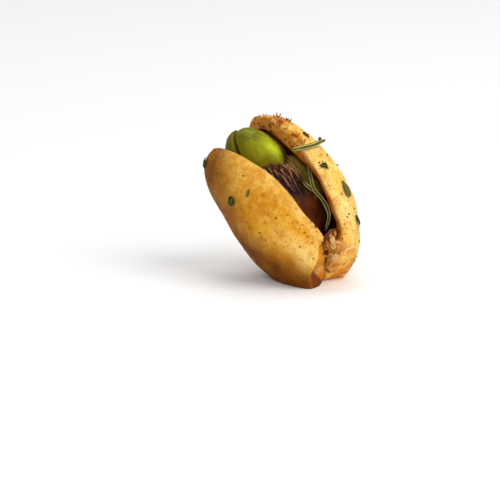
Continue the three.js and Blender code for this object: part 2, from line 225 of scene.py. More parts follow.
def uneven(piece, grain, height):
    """Presses soft unevenness of a grain and height in mm into a piece, kept above the table."""
    clouds = bpy.data.textures.new(piece.name + " unevenness", "CLOUDS")
    clouds.noise_scale = grain / 1000
    lumps = piece.modifiers.new("unevenness", "DISPLACE")
    lumps.texture = clouds
    lumps.texture_coords = "LOCAL"
    lumps.strength = height / 1000
    bpy.context.view_layer.objects.active = piece
    bpy.ops.object.modifier_apply(modifier=lumps.name)
    for vertex in piece.data.vertices:
        vertex.co.z = max(vertex.co.z, 0.0)


class Wire:
    """A socket in a finish's node tree, so that shader maths reads as expressions."""

    def __init__(self, tree, socket=None):
        self.tree, self.socket = tree, socket

    def node(self, kind, settings, sockets, out=0):
        made = self.tree.nodes.new(kind)
        for name, value in settings.items():
            if name == "stops":
                for spare in range(len(value) - len(made.color_ramp.elements)):
                    made.color_ramp.elements.new(1.0)
                for element, (place, colour) in zip(made.color_ramp.elements, value):
                    element.position, element.color = place, colour
            else:
                setattr(made, name, value)
        for name, value in sockets.items():
            if isinstance(value, Wire):
                self.tree.links.new(value.socket, made.inputs[name])
            else:
                made.inputs[name].default_value = value
        return Wire(self.tree, made.outputs[out]) if made.outputs else self

    def maths(self, operation, a, b=0.0):
        return self.node("ShaderNodeMath", {"operation": operation}, {0: a, 1: b})

    def __add__(self, other):
        return self.maths("ADD", self, other)

    def __sub__(self, other):
        return self.maths("SUBTRACT", self, other)

    def __rsub__(self, other):
        return self.maths("SUBTRACT", other, self)

    def __mul__(self, other):
        return self.maths("MULTIPLY", self, other)

    __radd__, __rmul__ = __add__, __mul__

    def step(self, low, high):
        settings = {"interpolation_type": "SMOOTHSTEP"}
        return self.node("ShaderNodeMapRange", settings, {"Value": self, "From Min": low, "From Max": high})

    def over(self, below, colour):
        """A colour laid over another where this mask is 1."""
        settings = {"data_type": "RGBA", "clamp_factor": True}
        return self.node("ShaderNodeMix", settings, {0: self, 6: below, 7: colour}, 2)

    def mark(self, name, out="Fac"):
        return self.node("ShaderNodeAttribute", {"attribute_name": name}, {}, out)

    def mottle(self, place, scale, detail=2.0, stretch=(1, 1, 1)):
        turned = self.node("ShaderNodeMapping", {}, {"Vector": place, "Scale": stretch})
        return self.node("ShaderNodeTexNoise", {}, {"Vector": turned, "Scale": scale, "Detail": detail})

    def off_dots(self, place, scale):
        """How far a spot is from the nearest of many scattered dots."""
        sockets = {"Vector": place, "Scale": scale, "Randomness": 1.0}
        return self.node("ShaderNodeTexVoronoi", {}, sockets, "Distance")


def paint(code):
    """A colour given as six hex digits, as the shader wants it."""
    parts = [int(code[i : i + 2], 16) / 255 for i in (0, 2, 4)]
    return (*[p / 12.92 if p < 0.04045 else ((p + 0.055) / 1.055) ** 2.4 for p in parts], 1.0)


def new_finish(name):
    material = bpy.data.materials.new(name)
    material.use_nodes = True
    material.node_tree.nodes.clear()
    return material, Wire(material.node_tree)


def close_finish(wire, colour, roughness, bump_height, bump_depth, **constants):
    """Ends a finish: colour, roughness and relief, with whatever is the same all over."""
    relief = {"Height": bump_height, "Distance": bump_depth / 1000, "Strength": 1.0}
    bump = wire.node("ShaderNodeBump", {}, relief)
    sockets = {"Base Color": colour, "Roughness": roughness, "Normal": bump}
    sockets.update({name.replace("_", " "): value for name, value in constants.items()})
    skin = wire.node("ShaderNodeBsdfPrincipled", {}, sockets)
    wire.node("ShaderNodeOutputMaterial", {}, {"Surface": skin})


shell_finish, wire = new_finish("roasted shell")
nut = wire.mark("nut", "Vector")
rim, inside, deep, scar = wire.mark("rim"), wire.mark("inside"), wire.mark("deep"), wire.mark("scar")
toast, brown, burnt = wire.mark("toast"), wire.mark("brown"), wire.mark("burnt")
broad = wire.mottle(nut, 0.2, 2.0)
patches = wire.mottle(nut, 0.5, 3.0)
blotches = wire.mottle(nut, 0.85, 3.0)
fine = wire.mottle(nut, 2.2, 4.0)
grain = wire.mottle(nut, 4.5, 3.0)
streaks = wire.mottle(nut, 0.9, 3.0, (0.25, 1, 1))
speckle = wire.mottle(nut, 1.3, 3.0)
pale = broad.step(0.38, 0.62).over(paint("f8d888"), paint("efc45c"))
golden = broad.step(0.38, 0.62).over(paint("dc9e2a"), paint("c67e08"))
colour = toast.over(pale, golden)
colour = (patches.step(0.5, 0.7) * (0.25 + 0.5 * toast)).over(colour, paint("c47204"))
colour = (streaks.step(0.5, 0.75) * 0.35).over(colour, paint("ecbc50"))
colour = (blotches.step(0.58, 0.7) * fine.step(0.35, 0.6) * (0.3 + 0.5 * toast)).over(colour, paint("bd6404"))
colour = (speckle.step(0.45, 0.7) * 0.5).over(colour, paint("c87e0c"))
colour = ((1 - speckle.step(0.2, 0.55)) * 0.45).over(colour, paint("f0c660"))
colour = (grain.step(0.5, 0.7) * 0.42).over(colour, paint("b87008"))
colour = ((1 - grain.step(0.25, 0.5)) * 0.18).over(colour, paint("f4d480"))
# Painted shade: dark brown where the halves face left, face down or lie near the table.
colour = (brown * (0.6 + 0.6 * patches)).over(colour, paint("6a3200"))
colour = (burnt * blotches.step(0.38, 0.58)).over(colour, paint("b46c24"))
colour = (burnt * fine.step(0.54, 0.66) * 0.7).over(colour, paint("5c2a0c"))
dots = wire.off_dots(nut, 1.15)
dotted = wire.mottle(nut, 0.8, 1.0).step(0.44, 0.58)
colour = ((1 - dots.step(0.1, 0.24)) * dotted * 0.75).over(colour, paint("8c3f08"))
pricks = wire.off_dots(nut, 1.9)
pricked = wire.mottle(nut, 0.6, 1.0).step(0.58, 0.66)
colour = ((1 - pricks.step(0.06, 0.13)) * pricked * 0.85).over(colour, paint("4a2410"))
flesh = patches.step(0.38, 0.62).over(paint("f0b850"), paint("d08a2c"))
flesh = (blotches.step(0.52, 0.68) * 0.6).over(flesh, paint("d8a068"))
flesh = ((1 - blotches.step(0.3, 0.46)) * 0.7).over(flesh, paint("fae0a0"))
flesh = (toast.step(0.5, 1.0) * (0.4 + 0.5 * patches.step(0.35, 0.6))).over(flesh, paint("dc8208"))
flesh = (fine.step(0.56, 0.7) * 0.6).over(flesh, paint("8a4a14"))
colour = scar.over(colour, flesh)
wall = blotches.step(0.4, 0.65).over(paint("d88830"), paint("b0540e"))
# Painted shade: the inner wall is painted darker and browner the deeper it lies inside the half.
wall = deep.step(0.15, 0.6).over(wall, paint("c0641a"))
wall = deep.step(0.6, 1.0).over(wall, paint("84380c"))
wall = (wire.mark("ruddy") * (1 - deep.step(0.3, 0.8))).over(wall, paint("a83c08"))
colour = (rim * (1 - deep) * (0.6 + 0.4 * patches.step(0.4, 0.6))).over(colour, paint("a84c06"))
colour = inside.over(colour, wall)
colour = (rim * burnt * blotches.step(0.3, 0.55)).over(colour, paint("d28a34"))
colour = (rim * burnt * fine.step(0.5, 0.64) * 0.8).over(colour, paint("5a2408"))
relief = fine * 0.6 + streaks * 0.4 + burnt * blotches * 3.0 + scar * (blotches * 2.5 + fine)
close_finish(
    wire, colour, 0.48 + 0.2 * fine, relief, 0.07, Specular_IOR_Level=0.06,
    Subsurface_Weight=0.1, Subsurface_Radius=(0.0012, 0.0006, 0.0002), Subsurface_Scale=0.5,
)

for side, node in ((LEFT, "shell_left"), (RIGHT, "shell_right")):
    half, turn, pole = ball(node + "_roasted", 176, 100)
    rim_run = np.clip((pole - OUTSIDE_END) / (RIM_END - OUTSIDE_END), 0, 1)
    inner_level = np.where(pole < RIM_END, 1, (1 - pole) / (1 - RIM_END))
    level = LIP * np.where(pole < OUTSIDE_END, pole / OUTSIDE_END, inner_level)
    points, on_scar = shell_point(side, turn, level, rim_run, np.sin(math.pi * rim_run) ** 0.7)
    height = points @ pose[2] + STANDS_AT[2]
    lift = np.maximum(0, rim_run * WALL_OVER_FLAT_SPOT - height)
    points = points + lift[:, None] * pose[2]
    # Where the rim, the inner wall and the stem scar are, and how the roasting coloured each spot. Painted
    # light is among them:
    # painted shade darker deeper inside, on the left side, underneath and near the table, and a painted
    # highlight paler towards the left half's rim.
    inside = smooth_step((rim_run - 0.55) / 0.45)
    near_rim = smooth_step((rim_run - 0.04) / 0.32) * (1 - smooth_step((level - LIP * 0.93) / -0.15))
    near_rim = near_rim * smooth_step((level - 0.95) / 0.034)
    # How deep a spot lies inside, for the inner wall's painted shade.
    deep = inside * smooth_step((LIP - level) / 0.5)
    swing = np.degrees((turn + math.pi) % (2 * math.pi) - math.pi)
    facing = (points - [WIDEST_AT, 0, 0]) / HALF_SIZES_SQUARED @ pose.T
    facing /= np.linalg.norm(facing, axis=1, keepdims=True)
    low = smooth_step((LOW_BAND - points @ pose[2] - STANDS_AT[2]) / LOW_BAND)
    if side == LEFT:
        # Painted highlight: the left half is painted paler towards its rim, over its roasted tone.
        toast = 0.9 - 0.45 * smooth_step((level - 0.75) / 0.3)
        # Painted shade: the left half darker where it faces left and where it faces down.
        brown = 0.9 * smooth_step((-0.52 - facing[:, 0]) / 0.4) * smooth_step((0.5 - facing[:, 1]) / 0.6)
        brown = np.maximum(brown, smooth_step((-0.08 - facing[:, 2]) / 0.34))
        burnt = 0.7 * smooth_step((16 - np.abs(swing - 6)) / 12) * smooth_step((level - 0.74) / 0.15)
        stains = [
            (128, 0.66, 16, 0.15, -0.7), (40, 0.85, 14, 0.12, -0.3), (66, 0.45, 14, 0.1, 0.5),
            (86, 0.76, 8, 0.08, 0.5), (101, 0.84, 7, 0.05, 0.7), (108, 0.6, 14, 0.12, -0.3),
        ]
    else:
        # Towards the table the right half is also painted more golden, as part of its painted shade there.
        toast = 0.05 + 0.6 * smooth_step((0.5 - level) / 0.4) + 0.4 * low
        toast = toast + 0.35 * smooth_step((4.5 - points[:, 0]) / 3)
        # Painted shade: the right half darker on its belly and towards the table.
        brown = 0.5 * smooth_step((0.3 - level) / 0.25) + 0.4 * low**2
        burnt = smooth_step((45 - np.abs(swing - 24)) / 14) * smooth_step((level - 0.86) / 0.1)
        stains = [
            (54, 0.93, 6, 0.06, 0.9), (70, 0.95, 8, 0.04, 0.5), (30, 0.93, 8, 0.05, 0.8),
            (46, 0.97, 7, 0.05, 0.7), (120, 0.93, 8, 0.06, 0.5), (95, 0.97, 14, 0.03, 0.5),
        ]
    # A stain has its turn and level, its reach in both, and how much darker than its surroundings it is.
    for at, at_level, reach, level_reach, amount in stains:
        off_stain = ((swing - at) / reach) ** 2 + ((level - at_level) / level_reach) ** 2
        toast = toast + amount * np.exp(-off_stain)
    scar = on_scar
    if side == LEFT:
        scar = scar * smooth_step((scar_edge(points[:, 2]) + SCAR_LEFT_BORDER - points[:, 1]) / 0.4)
        toast = np.maximum(toast, scar)
    toast = np.clip(toast, 0, 1)
    scar = scar * (1 - inside)
    ruddy = smooth_step((swing - 55) / 20) * (1 - smooth_step((swing - 120) / 10)) * (side == RIGHT)
    marks = {"rim": near_rim, "inside": inside, "deep": deep, "scar": scar, "ruddy": ruddy}
    shape(half, points, toast=toast, brown=brown, burnt=burnt, **marks)
    uneven(half, SHELL_GRAIN, SHELL_UNEVENNESS)
    half.data.materials.append(shell_finish)
    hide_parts(node)
    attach(half, "root")

# The kernel: two plump green seed leaves lying face to face, so a cleft shows between
# them at the open tip. Smooth oily flesh, yellow then brown where the skin has torn off.
KERNEL_START, KERNEL_END = 3.6, 19.7
KERNEL_HALF_WIDTH, KERNEL_HALF_DEPTH = 4.6, 3.85
KERNEL_CENTRE_Y, KERNEL_CENTRE_Z, KERNEL_ROLL = 0.45, 0.1, math.radians(135)
CLEFT_SHIFT, CLEFT_GAP, LEAF_INNER_BULGE, LEAF_TIP_PART = -0.3, 0.2, 0.3, 0.3
SKIN_EDGE, SKIN_RECESS = 14.3, 0.8
SWELLING, SWELLING_TURN = 1.1, math.radians(40)
SWELLING_START, SWELLING_RISE, SWELLING_END, SWELLING_FALL = 6.5, 4.0, 13.3, 2.2
BACK_LEAF_LONGER = 1.03
KERNEL_GRAIN, KERNEL_UNEVENNESS = 2.4, 0.2
kernel_middle = (KERNEL_START + KERNEL_END) / 2
kernel_reach = (KERNEL_END - KERNEL_START) / 2


def kernel_point(along, across, width):
    """A point in mm by its place along the kernel, across the cleft and along the cleft's width."""
    y = across * math.cos(KERNEL_ROLL) - width * math.sin(KERNEL_ROLL) + KERNEL_CENTRE_Y
    z = across * math.sin(KERNEL_ROLL) + width * math.cos(KERNEL_ROLL) + KERNEL_CENTRE_Z
    return np.stack([kernel_middle + along, y, z], -1)


def skin_edge(turn):
    """How far from the stem scar the skin is torn off, round the kernel."""
    return SKIN_EDGE + 0.4 * np.sin(2 * turn - 0.9) + 0.22 * np.sin(7 * turn + 1.2)


def swelling(turn, x):
    """How far the kernel and its skin bulge beside the right rim."""
    ends = smooth_step((x - SWELLING_START) / SWELLING_RISE)
    ends = ends * (1 - smooth_step((x - SWELLING_END) / SWELLING_FALL))
    return SWELLING * np.maximum(0, np.cos(turn - SWELLING_TURN)) ** 3 * ends


kernel_finish, wire = new_finish("green kernel")
nut, past, cleft = wire.mark("nut", "Vector"), wire.mark("past"), wire.mark("cleft")
sunk, shaded, ripe = wire.mark("sunk"), wire.mark("shaded"), wire.mark("ripe")
broad = wire.mottle(nut, 0.3, 2.0)
patches = wire.mottle(nut, 0.8, 3.0)
fine = wire.mottle(nut, 4.0, 3.0)
veins = wire.mottle(nut, 1.6, 3.0, (0.22, 1, 1))
colour = broad.step(0.35, 0.65).over(paint("625c03"), paint("807e04"))
colour = (patches.step(0.5, 0.7) * 0.6).over(colour, paint("524a05"))
colour = (veins.step(0.5, 0.66) * 0.45).over(colour, paint("98a01c"))
colour = ((1 - veins.step(0.36, 0.5)) * 0.4).over(colour, paint("4a5003"))
colour = ((1 - past.step(1.5, 4.5)) * 0.4).over(colour, paint("969c08"))
ragged = past - 1.4 * veins + 0.7
colour = ((1 - ragged.step(0.3, 2.0)) * (0.45 + patches * 0.8)).over(colour, paint("644408"))
colour = ((1 - ragged.step(-0.2, 0.7)) * 0.9).over(colour, paint("4a2418"))
# Painted shade: the kernel's left side, towards the left half, darker olive.
colour = (sunk * 0.8).over(colour, paint("625602"))
colour = (shaded * (0.4 + 0.6 * patches)).over(colour, paint("566002"))
# Painted highlight: a bright yellow-green patch on the right of the bare flesh.
colour = (ripe * (0.3 + 0.8 * veins)).over(colour, paint("bccc24"))
colour = (cleft * 0.6).over(colour, paint("7a6a1c"))
# Painted glints: pale dots within the painted highlight.
glint_dots = wire.off_dots(nut, 1.7)
colour = ((1 - glint_dots.step(0.1, 0.45)) * fine.step(0.35, 0.65) * ripe * 0.4).over(colour, paint("e4e4a0"))
freckles = wire.off_dots(nut, 0.9)
colour = ((1 - freckles.step(0.1, 0.2)) * patches.step(0.5, 0.6) * 0.7).over(colour, paint("44500f"))
close_finish(
    wire, colour, 0.34 + 0.2 * patches, fine * 0.4 + veins, 0.06, Specular_IOR_Level=0.07,
    Subsurface_Weight=0.15, Subsurface_Radius=(0.0008, 0.001, 0.0002), Subsurface_Scale=0.5,
)

for front, node in ((1, "seed_leaf_front"), (-1, "seed_leaf_back")):
    leaf, turn, pole = ball(node + "_green", 96, 80)
    along, girth = np.cos(math.pi * pole), np.sin(math.pi * pole)
    depth = KERNEL_HALF_DEPTH - CLEFT_GAP / 2
    face = LEAF_INNER_BULGE + front * CLEFT_SHIFT
    lean = np.cos(turn)
    outward = np.where(lean > 0, mix(face, depth, lean), face + LEAF_INNER_BULGE * lean)
    chord = np.sqrt(np.maximum(0, 1 - (np.maximum(face, outward) / depth) ** 2))
    width = np.sign(np.sin(turn)) * chord * np.where(lean > 0, 1, np.sqrt(np.maximum(0, 1 - lean**2)))
    about = np.arctan2(width * KERNEL_HALF_WIDTH, front * outward)
    x = kernel_middle + kernel_reach * along
    bare = smooth_step((x - skin_edge(about) - 0.15) / 1.3)
    slim = girth * (1 + (swelling(about, x) - SKIN_RECESS * (1 - bare)) / KERNEL_HALF_DEPTH)
    part = CLEFT_GAP / 2 + LEAF_TIP_PART * np.maximum(0, along) ** 8 * np.clip(0.3 + 2 * lean, 0, 1)
    longer = np.where((front < 0) & (along > 0), BACK_LEAF_LONGER, 1)
    length = kernel_reach * along * mix(0.9, 1, bare) * longer
    points = kernel_point(length, front * (part + outward * slim), KERNEL_HALF_WIDTH * width * slim)
    # Painted shade on the kernel's left side, towards the left half.
    sunk = smooth_step((points[:, 1] - 0.4) / 2.2)
    past = x - skin_edge(about)
    shaded = smooth_step((-1.7 - points[:, 1]) / 1.2)
    # Painted highlight: where the bright patch lies, just past the torn skin on the right.
    ripe = np.exp(-(((past - 2.2) / 1.7) ** 2) - ((points[:, 1] + 0.8) / 0.9) ** 2)
    marks = {"sunk": sunk, "shaded": shaded, "ripe": ripe, "cleft": smooth_step((0.12 - lean) / 0.25)}
    shape(leaf, points, past=past, **marks)
    uneven(leaf, KERNEL_GRAIN, KERNEL_UNEVENNESS)
    leaf.data.materials.append(kernel_finish)
    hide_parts(node)
    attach(leaf, "root")

# The seed coat: thin purple-brown skin dried on to the kernel's lower part, wrinkled
# lengthwise and torn to a ragged edge. A smooth olive swelling lies beside the right rim
# and a brown one below it, with a painted shadow, a near-black patch, to the left of them.
SKIN_CLEARANCE, SKIN_WALL, CAD_SKIN_WALL = 0.25, 0.2, 0.45
LOW_SWELLING, LOW_SWELLING_TURN = 0.9, math.radians(5)
LOW_SWELLING_START, LOW_SWELLING_END, LOW_SWELLING_FADE = 3.8, 8.5, 2.5
# Where the painted shadow lies on the skin: its turn in degrees, its level and the reach of both.
PAINTED_SHADOW_TURN, PAINTED_SHADOW_REACH, PAINTED_SHADOW_LEVEL, PAINTED_SHADOW_LEVEL_REACH = -32, 11, 0.75, 0.045
COAT_OUTSIDE_END, COAT_RIM_END = 0.55, 0.6

coat_finish, wire = new_finish("papery seed coat")
nut, round_mark, up_mark = wire.mark("nut", "Vector"), wire.mark("about"), wire.mark("level")
swollen, torn = wire.mark("swollen"), wire.mark("torn")
place = wire.node("ShaderNodeCombineXYZ", {}, {"X": round_mark * 9.0, "Y": up_mark * 2.4, "Z": 0.0})
fibres = wire.mottle(place, 2.2, 4.0)
threads = wire.mottle(place, 5.5, 3.0)
patches = wire.mottle(nut, 0.7, 3.0)
fine = wire.mottle(nut, 3.5, 4.0)
colour = patches.step(0.35, 0.65).over(paint("180605"), paint("3a1416"))
lower = patches.step(0.35, 0.65).over(paint("4e2008"), paint("6c340c"))
colour = ((1 - up_mark.step(0.6, 0.78)) * 0.9).over(colour, lower)
colour = (fibres.step(0.54, 0.64) * up_mark.step(0.6, 0.8) * 0.7).over(colour, paint("7c4c34"))
colour = (threads.step(0.56, 0.64) * torn * 0.85).over(colour, paint("c0904c"))
# Painted shadow: a near-black patch on the skin to the left of the swellings.
colour = wire.mark("hollow").over(colour, paint("180604"))
olive = patches.step(0.4, 0.65).over(paint("b8a440"), paint("d2bc54"))
colour = (swollen * 0.85).over(colour, olive)
close_finish(
    wire, colour, 0.45 + 0.25 * fine, fibres * 0.6 + threads * 0.4, 0.12, Specular_IOR_Level=0.1,
    Subsurface_Weight=0.08, Subsurface_Radius=(0.0006, 0.0003, 0.0002), Subsurface_Scale=0.4,
)


def coat_point(turn, level, rim_run):
    """Points of the skin in mm from its stem end, level 0, to its torn edge, and how swollen it is."""
    tear = 0.16 * np.sin(23 * turn + 0.6) + 0.1 * np.sin(37 * turn + 2.1) + 0.07 * np.sin(61 * turn)
    edge = np.clip((skin_edge(turn) + tear - KERNEL_START) / (2 * kernel_reach), 0, 1)
    along = -np.cos(level * np.arccos(1 - 2 * edge))
    girth = np.sqrt(np.maximum(0, 1 - along**2))
    x = kernel_middle + kernel_reach * along
    swell = swelling(turn, x)
    low_swell = LOW_SWELLING * np.maximum(0, np.cos(turn - LOW_SWELLING_TURN)) ** 4
    low_swell = low_swell * smooth_step((x - LOW_SWELLING_START) / LOW_SWELLING_FADE)
    low_swell = low_swell * (1 - smooth_step((x - LOW_SWELLING_END) / LOW_SWELLING_FADE))
    wrinkle = 0.07 * np.sin(11 * turn + 2 * level) + 0.05 * np.sin(29 * turn + 3 * np.sin(4 * level))
    wrinkle = (wrinkle + 0.03 * np.sin(53 * turn - 5 * level)) * level
    wrinkle = wrinkle * (1 - 0.8 * np.clip(swell / 0.6, 0, 1))
    dip = 0.3 * smooth_step((level - 0.9) / 0.1)
    recess = SKIN_RECESS - SKIN_CLEARANCE - CAD_SKIN_WALL + rim_run * SKIN_WALL
    recess = recess - wrinkle - swell - low_swell + dip
    slim = 1 - recess / KERNEL_HALF_DEPTH
    points = kernel_point(
        kernel_reach * along * mix(0.98, 1, level) + rim_run * 0.3 * (1 - level),
        KERNEL_HALF_DEPTH * girth * np.cos(turn) * slim,
        KERNEL_HALF_WIDTH * girth * np.sin(turn) * slim,
    )
    return points, swell


coat, turn, pole = ball("seed_coat_papery", 220, 100)
rim_run = np.clip((pole - COAT_OUTSIDE_END) / (COAT_RIM_END - COAT_OUTSIDE_END), 0, 1)
inner_level = np.where(pole < COAT_RIM_END, 1, (1 - pole) / (1 - COAT_RIM_END))
level = np.where(pole < COAT_OUTSIDE_END, pole / COAT_OUTSIDE_END, inner_level)
points, swell = coat_point(turn, level, rim_run)
swing = (np.degrees(turn) + 180) % 360 - 180
# How near each spot is to the painted shadow's centre.
off_painted_shadow = ((swing - PAINTED_SHADOW_TURN) / PAINTED_SHADOW_REACH) ** 2 + ((level - PAINTED_SHADOW_LEVEL) / PAINTED_SHADOW_LEVEL_REACH) ** 2
shape(
    coat, points, about=np.cos(turn) + 0.7 * np.sin(2 * turn), level=level, hollow=np.exp(-off_painted_shadow),
    swollen=smooth_step((swell - 0.15) / 0.5), torn=smooth_step((level - 0.55) / 0.4),
)
coat.data.materials.append(coat_finish)
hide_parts("seed_coat")
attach(coat, "root")

# Loose strands of the same skin: fine fibres, tan near the tear and purple-grey lower
# down, that have come away and lie lengthwise on it.
strand_finish, wire = new_finish("skin strands")
nut, tone = wire.mark("nut", "Vector"), wire.mark("tone")
fine = wire.mottle(nut, 5.0, 3.0)
stops = [(0.0, paint("260a0e")), (0.35, paint("54281c")), (0.6, paint("7c5a4c")), (1.0, paint("c08c44"))]
colour = wire.node("ShaderNodeValToRGB", {"stops": stops}, {"Fac": tone})
colour = (fine.step(0.5, 0.7) * 0.6).over(colour, paint("381410"))
close_finish(wire, colour, 0.4 + 0.2 * fine, fine, 0.04, Specular_IOR_Level=0.12)


def strand(turns, levels, width, tone, seed):
    """One fibre along the skin between two turns in degrees and two levels."""
    piece, about, pole = ball("strand", 6, 18)
    run = np.stack([pole, np.minimum(1, pole + 0.02), np.maximum(0, pole - 0.02)])
    turn = np.radians(mix(turns[0], turns[1], run) + 1.3 * np.sin(5 * run + seed))
    at, ahead, behind = coat_point(turn, mix(levels[0], levels[1], run), 0.0)[0]
    way = ahead - behind
    way /= np.linalg.norm(way, axis=1, keepdims=True)
    axis = at * [1, 0, 0] + [0, KERNEL_CENTRE_Y, KERNEL_CENTRE_Z]
    out = (at - axis) / np.linalg.norm(at - axis, axis=1, keepdims=True)
    beside = np.cross(way, out)
    thick = width / 2 * np.sqrt(np.maximum(0, 1 - np.abs(2 * pole - 1) ** 3))
    lift = 0.05 + 0.12 * np.sin(math.pi * pole + seed) ** 2 + thick * np.sin(about)
    points = at + lift[:, None] * out + (1.4 * thick * np.cos(about))[:, None] * beside
    shape(piece, points, tone=np.full(len(pole), tone))
    return piece


def join(pieces, name):
    """One object made of several."""
    bpy.ops.object.select_all(action="DESELECT")
    for piece in pieces:
        piece.select_set(True)
    bpy.context.view_layer.objects.active = pieces[0]
    bpy.ops.object.join()
    pieces[0].name = name
    return pieces[0]


TAN_STRANDS, TAN_WIDTH, LOWER_WIDTH = 13, 0.07, 0.09
LOWER_TONES = (0, 0.1, 0.3, 0.65)
LOWER_TURNS = (-66, -62, -58, -55, -52, -50, -47, -45, -43, -41, -39, -37, -33, -30, -28, -24, -70, -80)
dice = random.Random(8)
strands = []
for i in range(TAN_STRANDS):
    turns = dice.uniform(-28, -2), dice.uniform(-34, -8)
    levels = 1.0, dice.uniform(0.84, 0.93)
    strands.append(strand(turns, levels, TAN_WIDTH, dice.uniform(0.6, 1), i))
for i, turn in enumerate(LOWER_TURNS):
    turns = turn, turn + dice.uniform(-6, 9)
    levels = dice.uniform(0.9, 0.99), dice.uniform(0.66, 0.82)
    strands.append(strand(turns, levels, LOWER_WIDTH, dice.choice(LOWER_TONES), i))
strands = join(strands, "seed_coat_strands")
strands.data.materials.append(strand_finish)
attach(strands, "root")

# The sprig and the needle: dried herb leaves rolled up along their length, so that two
# pale edges run beside a dark groove. They lie loose in the mouth and across the rim.
TOWARDS_FRONT = -pose[1]

herb_finish, wire = new_finish("rolled herb leaf")
nut, across = wire.mark("nut", "Vector"), wire.mark("across")
along, upper = wire.mark("along"), wire.mark("upper")
patches = wire.mottle(nut, 1.2, 3.0)
fine = wire.mottle(nut, 6.0, 3.0)
edge = across.step(0.35, 0.62) * (1 - across.step(0.8, 0.98)) * upper
colour = patches.step(0.35, 0.65).over(paint("4e4a18"), paint("767034"))
colour = ((1 - across.step(0.08, 0.3)) * upper * 0.8).over(colour, paint("363010"))
colour = (edge * (0.3 + 0.8 * patches)).over(colour, paint("d4ca70"))
colour = (along * 0.8).over(colour, paint("2e3218"))
close_finish(wire, colour, 0.55 + 0.2 * fine, fine, 0.05, Specular_IOR_Level=0.15, Subsurface_Weight=0.05)


def path_through(stops, t):
    """Points at t from 0 to 1 on the smooth line through the stops, and its direction there."""
    stops = np.array(stops, float)
    ends = np.vstack([2 * stops[0] - stops[1], stops, 2 * stops[-1] - stops[-2]])
    run = np.clip(t, 0, 1) * (len(stops) - 1)
    i = np.minimum(run.astype(int), len(stops) - 2)
    u = (run - i)[:, None]
    a, b, c, d = ends[i], ends[i + 1], ends[i + 2], ends[i + 3]
    at = 0.5 * (2 * b + (c - a) * u + (2 * a - 5 * b + 4 * c - d) * u**2 + (3 * b - a - 3 * c + d) * u**3)
    way = 0.5 * ((c - a) + 2 * (2 * a - 5 * b + 4 * c - d) * u + 3 * (3 * b - a - 3 * c + d) * u**2)
    return at, way / np.linalg.norm(way, axis=1, keepdims=True)


def rolled_leaf(name, stops, width, thickness, dark_start, dark_end):
    """A leaf rolled along its length over the stops, with its groove towards the front."""
    leaf, turn, pole = ball(name, 28, 72)
    at, way = path_through(stops, pole)
    top = TOWARDS_FRONT - way * (way @ TOWARDS_FRONT)[:, None]
    top /= np.linalg.norm(top, axis=1, keepdims=True)
    beside = np.cross(way, top)
    taper = np.sqrt(np.maximum(0, 1 - np.abs(2 * pole - 1) ** 5)) * (1 + 0.1 * np.sin(19 * pole + 1))
    b, n = np.cos(turn), np.sin(turn)
    groove = np.where(n > 0, 0.75 * np.exp(-((b / 0.42) ** 2)), 0)
    sideways, upwards = width / 2 * taper * b, thickness / 2 * taper * (n - groove)
    points = at + sideways[:, None] * beside + upwards[:, None] * top
    darkness = np.maximum(1 - pole / dark_start, 1 - (1 - pole) / dark_end)
    shape(leaf, points, across=np.abs(b), along=smooth_step(darkness), upper=(n > -0.2).astype(float))
    return leaf


sprig_stops = [
    (12.9, -2.8, 4.4), (11.9, -2.6, 4.35), (10.0, -1.95, 4.1), (9.05, -1.9, 4.15),
    (8.1, -2.0, 4.3), (7.1, -1.85, 4.5), (6.1, -1.45, 4.5), (4.9, -0.4, 3.9),
]
shoot_stops = [(10.95, -1.2, 4.2), (10.2, -1.45, 4.05), (9.3, -1.85, 4.1)]
sprig = join([
    rolled_leaf("sprig stem", sprig_stops, 0.48, 0.42, 0.3, 0.1),
    rolled_leaf("sprig shoot", shoot_stops, 0.42, 0.4, 0.3, 0.05),
], "herb_sprig_rolled")
needle_stops = [(14.4, -1.45, 5.55), (14.0, -2.35, 6.15), (13.7, -3.9, 5.85), (13.6, -5.65, 5.3)]
stub_stops = [(13.6, -4.7, 5.6), (13.85, -4.85, 5.75), (14.1, -4.85, 5.95)]
needle = join([
    rolled_leaf("needle stem", needle_stops, 0.5, 0.46, 0.04, 0.2),
    rolled_leaf("needle stub", stub_stops, 0.4, 0.4, 0.05, 0.7),
], "herb_needle_rolled")
for leaf, node in ((sprig, "herb_sprig"), (needle, "herb_needle")):
    leaf.data.materials.append(herb_finish)
    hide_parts(node)
    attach(leaf, "root")

# Leaf scraps of the seasoning: thin, dark, curled bits of dried herb that stick to the
# oily shell, each with a paler middle and a ragged outline.
SCRAP_CURL, SCRAP_LIFT, SCRAP_HALF_THICKNESS, SHELL_CURVE = 0.12, 0.1, 0.05, 13

scrap_finish, wire = new_finish("dried leaf scrap")
nut, middle, tone = wire.mark("nut", "Vector"), wire.mark("middle"), wire.mark("tone")
patches = wire.mottle(nut, 2.0, 3.0)
fine = wire.mottle(nut, 7.0, 2.0)
colour = patches.step(0.35, 0.65).over(paint("17160a"), paint("302c12"))
colour = (tone * 0.8).over(colour, paint("6e6a30"))
colour = (middle * (0.1 + 0.6 * patches)).over(colour, paint("6e6c42"))
close_finish(wire, colour, 0.55 + 0.3 * fine, fine + middle, 0.06, Specular_IOR_Level=0.08)


